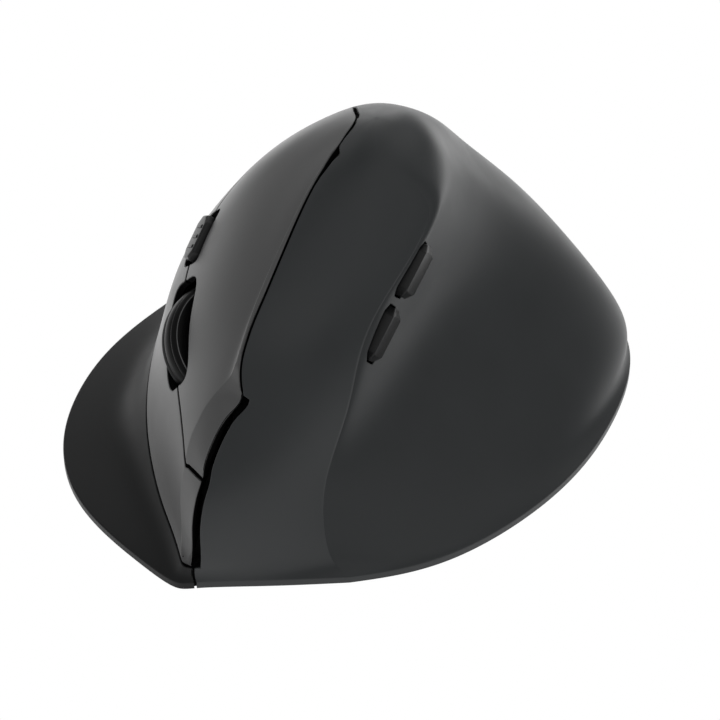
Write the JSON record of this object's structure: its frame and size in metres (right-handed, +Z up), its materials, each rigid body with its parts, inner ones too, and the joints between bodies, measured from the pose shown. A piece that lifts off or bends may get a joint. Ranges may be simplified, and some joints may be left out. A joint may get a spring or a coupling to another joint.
{
  "type": "computer mouse",
  "caption": "Right-hand vertical wireless mouse: sloped body with thumb scoop, finger skirt, scroll wheel, main, thumb and sensitivity buttons, battery base.",
  "frame": {"origin": "centre of the outline on the desk surface, at the underside of the glide feet", "axes": "+Y towards the front where the fingertips point, +X the finger side with the buttons, -X the thumb side, +Z up"},
  "size_m": [0.0944, 0.1056, 0.0645],
  "materials": {
    "shell": "fine matte, soft grip finish",
    "skirt": "fine matte",
    "buttons": "satin",
    "base": "fine texture",
    "frame_black": "moulded",
    "keys": "satin",
    "hub": "glossy",
    "rubber": "satin rubber",
    "steel": "bright",
    "board": "solder mask",
    "component": "moulded",
    "encoder": "moulded",
    "lens": "clear",
    "cell": "printed sleeve",
    "spring": "nickel plated",
    "feet": "slick",
    "cable": "ribbon",
    "nub": "moulded"
  },
  "bodies": {
    "case": {"main_shell": "shell", "side_skirt": "skirt", "base_plate": "base", "chassis": "frame_black", "wheel_encoder": "encoder", "middle_switch": "component", "main_switches": "component", "button_board": "board", "dpi_switch": "component", "thumb_switches": "component", "thumb_board": "board", "thumb_bracket": "frame_black", "main_board": "board", "radio_chip": "component", "optical_sensor": "component", "sensor_lens": "lens", "battery_tray": "frame_black", "battery_cell": "cell", "battery_spring": "spring", "battery_contact": "spring", "usb_receiver": "component", "receiver_bay": "frame_black", "power_switch": "component", "glide_feet": "feet", "case_screws": "steel", "board_cable": "cable"},
    "primary_key": {"primary_button": "buttons"},
    "secondary_key": {"secondary_button": "buttons"},
    "rocker": {"wheel_carrier": "frame_black"},
    "wheel": {"wheel_hub": "hub", "wheel_tyre": "rubber", "wheel_axle": "steel"},
    "dpi_key": {"dpi_button": "keys"},
    "thumb_forward_key": {"thumb_forward_button": "keys"},
    "thumb_back_key": {"thumb_back_button": "keys"},
    "power_knob": {"power_slider": "nub"},
    "door": {"battery_door": "base"}
  },
  "joints": [
    {"name": "primary_press", "type": "hinge", "parent": "case", "child": "primary_key", "pos_m": [0.003, -0.007, 0.059], "axis": [-0.6915, 0.5356, 0.4847], "range_deg": [0, 0.4], "stiffness_Nm_per_rad": 4, "springref_deg": -0.23},
    {"name": "secondary_press", "type": "hinge", "parent": "case", "child": "secondary_key", "pos_m": [0.0125, -0.018, 0.047], "axis": [-0.6616, 0.4611, 0.5914], "range_deg": [0, 0.4], "stiffness_Nm_per_rad": 4, "springref_deg": -0.23},
    {"name": "wheel_press", "type": "hinge", "parent": "case", "child": "rocker", "pos_m": [0.00762, 0.02985, 0.01587], "axis": [0.5846, -0.3513, -0.7313], "range_deg": [0, 1], "stiffness_Nm_per_rad": 0.8, "springref_deg": -0.57},
    {"name": "wheel_spin", "type": "hinge", "parent": "rocker", "child": "wheel", "pos_m": [0.01486, 0.01925, 0.02675], "axis": [-0.5846, 0.3513, 0.7313], "continuous": true},
    {"name": "dpi_press", "type": "slide", "parent": "case", "child": "dpi_key", "axis": [-0.7734, -0.5137, -0.3714], "range_m": [0, 0.0005], "stiffness_N_per_m": 1500, "springref_m": -0.0002},
    {"name": "thumb_forward_press", "type": "slide", "parent": "case", "child": "thumb_forward_key", "axis": [0.9719, -0.1956, 0.1308], "range_m": [0, 0.0005], "stiffness_N_per_m": 1500, "springref_m": -0.0002},
    {"name": "thumb_back_press", "type": "slide", "parent": "case", "child": "thumb_back_key", "axis": [0.9719, -0.1956, 0.1308], "range_m": [0, 0.0005], "stiffness_N_per_m": 1500, "springref_m": -0.0002},
    {"name": "power_slide", "type": "slide", "parent": "case", "child": "power_knob", "axis": [1, 0, 0], "range_m": [0, 0.0026]},
    {"name": "door_slide", "type": "slide", "parent": "case", "child": "door", "axis": [0, -1, 0], "range_m": [0, 0.004]}
  ]
}
